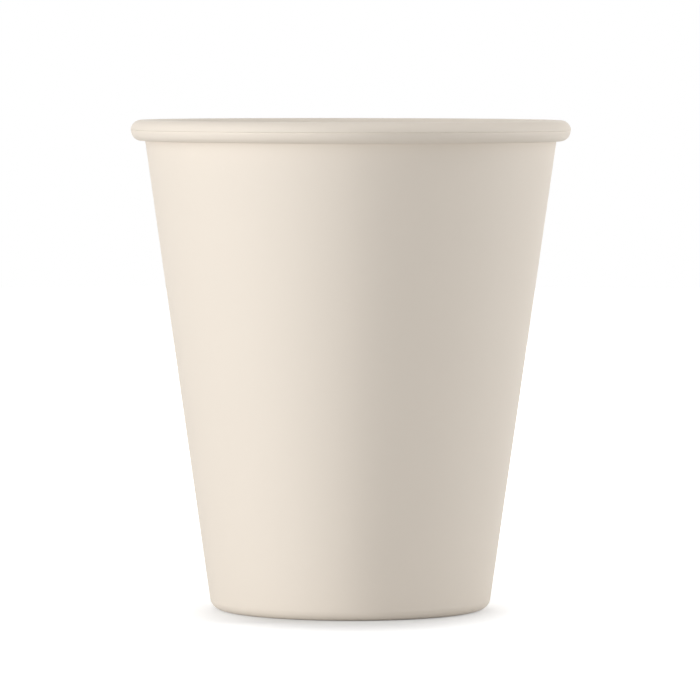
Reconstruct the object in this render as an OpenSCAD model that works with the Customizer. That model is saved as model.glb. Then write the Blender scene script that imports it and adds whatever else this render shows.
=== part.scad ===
// Reusable drinking cup, moulded in one piece.
// A plain tapered wall ends in a solid round bead at the rim and in a rounded edge at the base.
// The underside is recessed, so that the cup stands on a narrow ring.
// The cup stands on z = 0 with its axis on Z. Sizes are in millimetres.

/* [Cup] */
// Outside diameter over the rim bead
rim_d = 80; // [70:1:92]
// Height from the table to the top of the rim
cup_h = 89; // [70:1:115]
// Outside diameter of the wall at the table, if its edge were sharp
base_d = 50.6; // [44:0.2:58]
// Thickness of the wall
wall = 1.5; // [1:0.1:2.4]

/* [Rim] */
// Thickness of the round bead
bead_d = 3.9; // [3:0.1:6]
// How far the bead's lower half is set back where the mould parts
parting_step = 0.1; // [0.02:0.02:0.2]

/* [Base] */
// Thickness of the floor above the recess
floor_t = 2; // [1.2:0.1:3]
// Radius of the outside edge between the wall and the standing ring
edge_r = 2.2; // [1.5:0.1:5]
// Radius inside, between the floor and the wall
floor_r = 3; // [1:0.1:6]
// Width of the flat ring that the cup stands on
ring_w = 2; // [1:0.1:4]
// Depth of the recess inside the standing ring
recess_h = 0.8; // [0.5:0.1:1.5]
// Radius between the ring and the recess
recess_r = 0.4; // [0.2:0.1:0.5]
// Draft angle of the ring's inner side
ring_draft = 15; // [5:1:30]

/* [Gate mark] */
// Diameter of the shallow dimple round the gate
dimple_d = 7; // [5:0.5:12]
// Depth of the dimple
dimple_h = 0.4; // [0.2:0.1:0.8]
// Diameter of the trimmed gate in the dimple
gate_d = 1.8; // [1:0.1:3]
// Height of the trimmed gate
gate_h = 0.25; // [0.1:0.05:0.4]

/* [Hidden] */
$fn = 180;

// An arc is drawn larger than its radius by this much, so that it cuts the lines it touches cleanly
blend = 0.001;
// How far a cut reaches past the faces that it opens
overlap = 0.2;

bead_r = bead_d / 2;
base_r = base_d / 2;
bead_c = [rim_d / 2 - bead_r, cup_h - bead_r];

// The wall leans so that its inside runs smoothly into the bead
bead_offset = bead_r - wall;
taper = atan2(bead_c.x - base_r, bead_c.y)
      - asin(bead_offset / norm(bead_c - [base_r, 0]));
wall_along = [sin(taper), cos(taper)];
wall_across = [cos(taper), -sin(taper)];

// Where the inside of the wall runs into the bead
lip = bead_c - bead_r * wall_across;
lip_past = lip + bead_d * wall_along;

floor_z = recess_h + floor_t;
dimple_z = recess_h + dimple_h;
gate_z = dimple_z - gate_h;

// The standing ring reaches out to where the rounded edge leaves the table
ring_outer = base_r - edge_r * tan((90 - taper) / 2);
ring_inner = ring_outer - ring_w;

function outer_x(z) = base_r + z * tan(taper);
function inner_x(z) = outer_x(z) - wall / cos(taper);
function ring_x(z) = ring_inner - z * tan(ring_draft);
function unit(v) = v / norm(v);

// Corners of the wall and the base in half section: distance from the axis, height
middle = [0, 0];
base_corner = [base_r, 0];
wall_top = [outer_x(bead_c.y), bead_c.y];
middle_top = [0, lip.y];
floor_middle = [0, floor_z];
floor_corner = [inner_x(floor_z), floor_z];
recess_opening = [ring_x(-overlap), -overlap];
recess_corner = [ring_x(recess_h), recess_h];
dimple_edge = [dimple_d / 2, recess_h];

// What lies between a sharp corner and an arc of radius r that touches both its sides.
// Taken away, it rounds the corner.
module corner_waste(before, corner, after, r) {
    to_before = unit(before - corner);
    to_after = unit(after - corner);
    half_angle = acos(to_before * to_after) / 2;
    centre = corner + unit(to_before + to_after) * r / sin(half_angle);
    run = r / tan(half_angle);
    grow = 1 + overlap / r;
    reach = [corner + to_before * run, corner, corner + to_after * run];
    difference() {
        polygon([centre, for (p = reach) centre + grow * (p - centre)]);
        translate(centre)
            circle(r + blend);
    }
}

// The cup before it is hollowed, without its bead
module body_section() {
    difference() {
        polygon([middle, base_corner, wall_top, lip, middle_top]);
        corner_waste(middle, base_corner, wall_top, edge_r);
    }
}

// A full round, whose lower half is smaller by the parting step
module bead_section() {
    translate(bead_c)
        circle(bead_r - parting_step);
    intersection() {
        translate(bead_c)
            circle(bead_r + blend);
        translate([bead_c.x - bead_d, bead_c.y])
            square([2 * bead_d, bead_d]);
    }
}

// What the inner half of the mould fills
module cavity_section() {
    difference() {
        polygon([floor_middle, floor_corner, lip_past, [0, lip_past.y]]);
        corner_waste(floor_middle, floor_corner, lip, floor_r);
    }
}

// The recess inside the standing ring, with the dimple and the gate that is left in it
module recess_section() {
    difference() {
        polygon([
            [0, -overlap], recess_opening, recess_corner, dimple_edge,
            [dimple_d / 2, dimple_z], [gate_d / 2, dimple_z], [gate_d / 2, gate_z], [0, gate_z]
        ]);
        corner_waste(recess_opening, recess_corner, dimple_edge, recess_r);
    }
}

module cup() {
    color([0.92, 0.87, 0.80])
        rotate_extrude()
            difference() {
                union() {
                    body_section();
                    bead_section();
                }
                cavity_section();
                recess_section();
            }
}

cup();
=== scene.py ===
"""A plain reusable cup, moulded in one piece, on a pale floor in soft studio light. Metres, +Z up."""

import math

import bpy
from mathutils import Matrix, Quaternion, Vector


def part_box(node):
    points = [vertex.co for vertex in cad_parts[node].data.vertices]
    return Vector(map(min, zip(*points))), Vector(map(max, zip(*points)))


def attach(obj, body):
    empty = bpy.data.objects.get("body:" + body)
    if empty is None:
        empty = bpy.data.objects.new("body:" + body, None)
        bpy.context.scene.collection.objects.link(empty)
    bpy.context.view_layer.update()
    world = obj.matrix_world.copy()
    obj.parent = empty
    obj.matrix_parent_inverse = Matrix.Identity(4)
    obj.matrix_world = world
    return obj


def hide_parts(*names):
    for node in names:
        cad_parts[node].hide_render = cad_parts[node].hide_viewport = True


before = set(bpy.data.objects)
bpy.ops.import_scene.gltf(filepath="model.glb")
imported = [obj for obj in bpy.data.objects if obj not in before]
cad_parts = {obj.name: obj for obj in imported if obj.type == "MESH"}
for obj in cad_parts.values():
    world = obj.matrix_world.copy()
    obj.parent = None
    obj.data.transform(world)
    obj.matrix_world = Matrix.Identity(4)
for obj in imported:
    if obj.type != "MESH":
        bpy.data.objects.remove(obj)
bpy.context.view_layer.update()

# The cup's sizes. The rim and the height come from the frame.
RIM_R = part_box("cup")[1].x
CUP_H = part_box("cup")[1].z
BASE_R = 0.0253
WALL = 0.0015
BEAD_R = 0.00195
PARTING_STEP = 0.0001
FLOOR_Z = 0.0028
FLOOR_R = 0.003
EDGE_R = 0.0022
RING_W = 0.002
RECESS_H = 0.0008
RECESS_R = 0.0004
RING_DRAFT = math.radians(15)
DIMPLE_R = 0.0035
DIMPLE_H = 0.0004
GATE_R = 0.0009
GATE_H = 0.00025
SMALL_R = 0.0001

# The fine groove round the bead, where the mould parts
GROOVE_W = 0.00035
GROOVE_D = 0.00005

# How finely the cup is meshed
SEGMENTS = 256
ARC_STEP = math.radians(6)
WALL_RINGS = 24
CREASE = math.radians(35)


def section():
    """The cup's half section as (radius, height) points, from the middle of the floor inside, over the rim
    and back to the middle of the underside."""
    bead = Vector((RIM_R - BEAD_R, CUP_H - BEAD_R))
    to_bead = bead - Vector((BASE_R, 0))
    lean = math.atan2(to_bead.x, to_bead.y) - math.asin((BEAD_R - WALL) / to_bead.length)
    along = Vector((math.sin(lean), math.cos(lean)))
    across = Vector((math.cos(lean), -math.sin(lean)))
    lip = bead - BEAD_R * across

    def outer_x(z):
        return BASE_R + z * math.tan(lean)

    # The wall's outside runs into the bead's smaller lower half
    lower_r = BEAD_R - PARTING_STEP
    offset = BEAD_R - WALL
    root = bead - offset * across - along * math.sqrt(lower_r**2 - offset**2)
    root_angle = math.atan2(root.y - bead.y, root.x - bead.x)
    lip_angle = math.pi - lean

    floor_corner = Vector((outer_x(FLOOR_Z) - WALL / math.cos(lean), FLOOR_Z))
    ring_out = BASE_R - EDGE_R * math.tan((math.pi / 2 - lean) / 2)
    ring_in = ring_out - RING_W
    recess_x = ring_in - RECESS_H * math.tan(RING_DRAFT)
    dimple_z = RECESS_H + DIMPLE_H
    gate_z = dimple_z - GATE_H

    points = [Vector((0, FLOOR_Z))]
    points += rounded(Vector((0, FLOOR_Z)), floor_corner, lip, FLOOR_R)
    points += straight(points[-1], lip, WALL_RINGS)
    # The groove lies at the bead's widest line, between its two halves
    groove_turn = GROOVE_W / 2 / BEAD_R
    points += arc(bead, BEAD_R, lip_angle, groove_turn)
    points.append(bead + Vector((lower_r - GROOVE_D, 0)))
    points += arc(bead, lower_r, -groove_turn, root_angle)
    base_corner = Vector((BASE_R, 0))
    ring_edge = Vector((ring_in, 0))
    recess_corner = Vector((recess_x, RECESS_H))
    edge = rounded(root, base_corner, ring_edge, EDGE_R)
    points += straight(root, edge[0], WALL_RINGS)
    points += edge
    dimple_edge = Vector((DIMPLE_R, RECESS_H))
    dimple_root = Vector((DIMPLE_R, dimple_z))
    gate_root = Vector((GATE_R, dimple_z))
    gate_tip = Vector((GATE_R, gate_z))
    points += rounded(base_corner, ring_edge, recess_corner, SMALL_R)
    points += rounded(ring_edge, recess_corner, dimple_edge, RECESS_R)
    points += rounded(recess_corner, dimple_edge, dimple_root, SMALL_R)
    points += rounded(dimple_edge, dimple_root, gate_root, SMALL_R)
    points += rounded(dimple_root, gate_root, gate_tip, SMALL_R / 2)
    points += rounded(gate_root, gate_tip, Vector((0, gate_z)), SMALL_R / 2)
    points.append(Vector((0, gate_z)))
    return points


def arc(centre, radius, start, end):
    """Points along an arc, both ends included."""
    steps = max(2, math.ceil(abs(end - start) / ARC_STEP))
    angles = [start + (end - start) * i / steps for i in range(steps + 1)]
    return [centre + radius * Vector((math.cos(a), math.sin(a))) for a in angles]


def rounded(before, corner, after, radius):
    """An arc that touches both lines at a corner."""
    back = (before - corner).normalized()
    ahead = (after - corner).normalized()
    half = back.angle(ahead) / 2
    centre = corner + (back + ahead).normalized() * radius / math.sin(half)
    first = corner + back * radius / math.tan(half) - centre
    last = corner + ahead * radius / math.tan(half) - centre
    start = math.atan2(first.y, first.x)
    turn = math.remainder(math.atan2(last.y, last.x) - start, math.tau)
    return arc(centre, radius, start, start + turn)


def straight(start, end, count):
    """Points between two ends, neither included."""
    return [start.lerp(end, i / count) for i in range(1, count)]


def lathe(name, profile):
    """A closed mesh turned about Z from a half section whose two ends lie on the axis."""
    rings = profile[1:-1]
    vertices = [(0, 0, profile[0].y)]
    for point in rings:
        for i in range(SEGMENTS):
            turn = math.tau * i / SEGMENTS
            vertices.append((point.x * math.cos(turn), point.x * math.sin(turn), point.y))
    vertices.append((0, 0, profile[-1].y))
    last = len(vertices) - 1
    faces = []
    for i in range(SEGMENTS):
        j = (i + 1) % SEGMENTS
        faces.append((0, 1 + i, 1 + j))
        for k in range(len(rings) - 1):
            low = 1 + k * SEGMENTS
            high = low + SEGMENTS
            faces.append((low + i, high + i, high + j, low + j))
        top = 1 + (len(rings) - 1) * SEGMENTS
        faces.append((top + i, last, top + j))
    mesh = bpy.data.meshes.new(name)
    mesh.from_pydata(vertices, [], faces)
    mesh.shade_smooth()
    mesh.set_sharp_from_angle(angle=CREASE)
    piece = bpy.data.objects.new(name, mesh)
    bpy.context.scene.collection.objects.link(piece)
    return piece


def srgb(red, green, blue):
    """A linear colour from the three numbers of an 8-bit one."""

    def linear(value):
        share = value / 255
        return share / 12.92 if share <= 0.04045 else ((share + 0.055) / 1.055) ** 2.4

    return (linear(red), linear(green), linear(blue), 1)


def new_material(name):
    material = bpy.data.materials.new(name)
    material.use_nodes = True
    tree = material.node_tree
    tree.nodes.clear()
    return material, tree.nodes, tree.links


# The plastic: its colour and gloss vary faintly over the size of a cloud, and its grain is a fine texture
PALE_CREAM = (236, 226, 213)
DEEP_CREAM = (234, 224, 211)
MATTE = (0.62, 0.68)
CLOUD_SIZE = 0.014
CLOUD_DETAIL = 3
CLOUD_RANGE = (0.3, 0.7)
GRAIN_SIZE = 0.00035
GRAIN_DETAIL = 2
GRAIN_DEPTH = 0.000012
GRAIN_STRENGTH = 0.35
NOISE_ROUGHNESS = 0.6


def noise(nodes, links, place, size, detail):
    """A noise texture whose features are about one size across."""
    texture = nodes.new("ShaderNodeTexNoise")
    texture.inputs["Scale"].default_value = 1 / size
    texture.inputs["Detail"].default_value = detail
    texture.inputs["Roughness"].default_value = NOISE_ROUGHNESS
    links.new(place, texture.inputs["Vector"])
    return texture.outputs["Fac"]


def cup_plastic():
    """Matte moulded plastic with a fine spark-eroded grain."""
    material, nodes, links = new_material("matte_plastic")
    output = nodes.new("ShaderNodeOutputMaterial")
    shader = nodes.new("ShaderNodeBsdfPrincipled")
    place = nodes.new("ShaderNodeTexCoord").outputs["Object"]
    cloud = noise(nodes, links, place, CLOUD_SIZE, CLOUD_DETAIL)

    colour = nodes.new("ShaderNodeMix")
    colour.data_type = "RGBA"
    colour.inputs["A"].default_value = srgb(*DEEP_CREAM)
    colour.inputs["B"].default_value = srgb(*PALE_CREAM)
    links.new(cloud, colour.inputs["Factor"])
    links.new(colour.outputs["Result"], shader.inputs["Base Color"])

    gloss = nodes.new("ShaderNodeMapRange")
    gloss.inputs["From Min"].default_value = CLOUD_RANGE[0]
    gloss.inputs["From Max"].default_value = CLOUD_RANGE[1]
    gloss.inputs["To Min"].default_value = MATTE[0]
    gloss.inputs["To Max"].default_value = MATTE[1]
    links.new(cloud, gloss.inputs["Value"])
    links.new(gloss.outputs["Result"], shader.inputs["Roughness"])

    bump = nodes.new("ShaderNodeBump")
    bump.inputs["Strength"].default_value = GRAIN_STRENGTH
    bump.inputs["Distance"].default_value = GRAIN_DEPTH
    links.new(noise(nodes, links, place, GRAIN_SIZE, GRAIN_DETAIL), bump.inputs["Height"])
    links.new(bump.outputs["Normal"], shader.inputs["Normal"])
    links.new(shader.outputs["BSDF"], output.inputs["Surface"])
    return material


def seen_directly(nodes, links):
    """1 for a ray that is seen, straight or by way of gloss or glass, and 0 for a ray that carries light."""
    path = nodes.new("ShaderNodeLightPath")
    total = None
    for name in ("Is Camera Ray", "Is Glossy Ray", "Is Transmission Ray"):
        if total is None:
            total = path.outputs[name]
            continue
        add = nodes.new("ShaderNodeMath")
        add.operation = "MAXIMUM"
        links.new(total, add.inputs[0])
        links.new(path.outputs[name], add.inputs[1])
        total = add.outputs[0]
    return total


# The floor, and the light that isn't a lamp's
FLOOR_R_OUT = 1.5
FLOOR_EDGES = 96
FLOOR_COLOUR = 0.7
WORLD_LIGHT = 0.15

# How strongly the floor's glow is seen, by the distance from a point in front of the cup's middle.
# The weak glow close to the cup is a painted contact shadow, narrower across the view by the squeeze.
PAINTED_SHADOW_SHIFT = 0.008
PAINTED_SHADOW_SQUEEZE = 1.3
GLOW_REACH = 0.3
GLOW_AND_PAINTED_SHADOW_STEPS = ((0.018, 0.17), (0.048, 0.73), (GLOW_REACH, 1))


def floor():
    """A pale floor that is white where it is open. Its glow is only seen, and it is weak at the cup's front,
    which is a painted shadow on top of the lamps' own contact shadow."""
    bpy.ops.mesh.primitive_circle_add(vertices=FLOOR_EDGES, radius=FLOOR_R_OUT, fill_type="NGON")
    piece = bpy.context.object
    piece.name = "floor"
    material, nodes, links = new_material("floor")
    output = nodes.new("ShaderNodeOutputMaterial")
    diffuse = nodes.new("ShaderNodeBsdfDiffuse")
    diffuse.inputs["Color"].default_value = (FLOOR_COLOUR, FLOOR_COLOUR, FLOOR_COLOUR, 1)
    glow = nodes.new("ShaderNodeEmission")
    add = nodes.new("ShaderNodeAddShader")
    place = nodes.new("ShaderNodeTexCoord")
    # The shifted, squeezed distance puts the painted shadow in front of the cup's middle
    shift = nodes.new("ShaderNodeMapping")
    shift.inputs["Location"].default_value = (0, PAINTED_SHADOW_SHIFT, 0)
    shift.inputs["Scale"].default_value = (PAINTED_SHADOW_SQUEEZE, 1, 1)
    away = nodes.new("ShaderNodeVectorMath")
    away.operation = "LENGTH"
    share = nodes.new("ShaderNodeMath")
    share.operation = "DIVIDE"
    share.inputs[1].default_value = GLOW_REACH
    # The glow is weak close to the cup, which paints shade there, and full on the open floor
    rise = nodes.new("ShaderNodeValToRGB")
    rise.color_ramp.interpolation = "EASE"
    while len(rise.color_ramp.elements) < len(GLOW_AND_PAINTED_SHADOW_STEPS):
        rise.color_ramp.elements.new(0.5)
    for element, (distance, strength) in zip(rise.color_ramp.elements, GLOW_AND_PAINTED_SHADOW_STEPS):
        element.position = distance / GLOW_REACH
        element.color = (strength, strength, strength, 1)
    level = nodes.new("ShaderNodeMath")
    level.operation = "MULTIPLY"
    links.new(place.outputs["Object"], shift.inputs["Vector"])
    links.new(shift.outputs["Vector"], away.inputs[0])
    links.new(away.outputs["Value"], share.inputs[0])
    links.new(share.outputs[0], rise.inputs["Fac"])
    links.new(seen_directly(nodes, links), level.inputs[0])
    links.new(rise.outputs["Color"], level.inputs[1])
    links.new(level.outputs[0], glow.inputs["Strength"])
    links.new(diffuse.outputs[0], add.inputs[0])
    links.new(glow.outputs[0], add.inputs[1])
    links.new(add.outputs[0], output.inputs["Surface"])
    piece.data.materials.append(material)
    return piece


def backdrop():
    """The world: white where it is seen, and a plain soft light elsewhere."""
    world = bpy.data.worlds.new("studio")
    bpy.context.scene.world = world
    world.use_nodes = True
    nodes = world.node_tree.nodes
    links = world.node_tree.links
    nodes.clear()
    output = nodes.new("ShaderNodeOutputWorld")
    light = nodes.new("ShaderNodeBackground")
    light.inputs["Strength"].default_value = WORLD_LIGHT
    light.inputs["Color"].default_value = (1, 1, 1, 1)
    seen = nodes.new("ShaderNodeBackground")
    seen.inputs["Strength"].default_value = 1
    seen.inputs["Color"].default_value = (1, 1, 1, 1)
    mix = nodes.new("ShaderNodeMixShader")
    links.new(seen_directly(nodes, links), mix.inputs[0])
    links.new(light.outputs[0], mix.inputs[1])
    links.new(seen.outputs[0], mix.inputs[2])
    links.new(mix.outputs[0], output.inputs["Surface"])


# The softboxes stand on the floor. Each has a name, an azimuth in degrees, a height, a width and watts.
SOFTBOXES = (
    ("left_tall", -50, 1.2, 1.4, 8),
    ("left_low", -50, 0.2, 1.4, 4),
    ("right_tall", 95, 1.2, 0.2, 4.8),
    ("right_low", 100, 0.2, 0.35, 2),
    ("back", 180, 1.2, 0.5, 2),
)
SOFTBOX_BACK = 1
OVERHEAD_SIDE = 0.6
OVERHEAD_WATTS = 2
OVERHEAD_Z = 1.1


def softbox(name, azimuth, height, width, watts):
    """An upright lamp that faces the cup's axis. Azimuth 0 is the camera's side, and 90 is on its right."""
    turn = math.radians(azimuth)
    middle = Vector((0, 0, height / 2))
    piece = area_lamp(name, width, height, watts)
    piece.location = middle + SOFTBOX_BACK * Vector((math.sin(turn), -math.cos(turn), 0))
    piece.rotation_euler = (middle - piece.location).to_track_quat("-Z", "Y").to_euler()
    return piece


def area_lamp(name, width, length, watts):
    lamp = bpy.data.lights.new(name, "AREA")
    lamp.shape = "RECTANGLE"
    lamp.size = width
    lamp.size_y = length
    lamp.energy = watts
    piece = bpy.data.objects.new(name, lamp)
    bpy.context.scene.collection.objects.link(piece)
    piece.visible_camera = False
    return piece


def lamps():
    """A tall wide softbox and a low one on the left, narrower ones on the right and behind, and a
    small one overhead."""
    for settings in SOFTBOXES:
        softbox(*settings)
    overhead = area_lamp("overhead", OVERHEAD_SIDE, OVERHEAD_SIDE, OVERHEAD_WATTS)
    overhead.location = (0, 0, OVERHEAD_Z)


# The camera, set by the cup's outline in the photograph
LENS = 293.1
SENSOR_W = 36
CLIP_START = 0.01
CLIP_END = 50
CAMERA_X = -0.0001
CAMERA_BACK = 1.036
CAMERA_Z = 0.0988
TARGET_Z = 0.04715
CAMERA_ROLL = math.radians(0.07)


def camera():
    """A long lens a little above the rim, at the photograph's viewing angle."""
    lens = bpy.data.cameras.new("camera")
    lens.sensor_width = SENSOR_W
    lens.lens = LENS
    piece = bpy.data.objects.new("camera", lens)
    bpy.context.scene.collection.objects.link(piece)
    piece.location = (CAMERA_X, -CAMERA_BACK, CAMERA_Z)
    target = Vector((CAMERA_X, 0, TARGET_Z))
    aim = (target - piece.location).to_track_quat("-Z", "Y")
    piece.rotation_euler = (aim @ Quaternion((0, 0, 1), CAMERA_ROLL)).to_euler()
    lens.clip_start = CLIP_START
    lens.clip_end = CLIP_END
    bpy.context.scene.camera = piece


cup = lathe("cup_body", section())
cup.data.materials.append(cup_plastic())
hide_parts("cup")
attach(cup, "root")

floor()
backdrop()
lamps()
camera()

bpy.context.scene.view_settings.view_transform = "Standard"
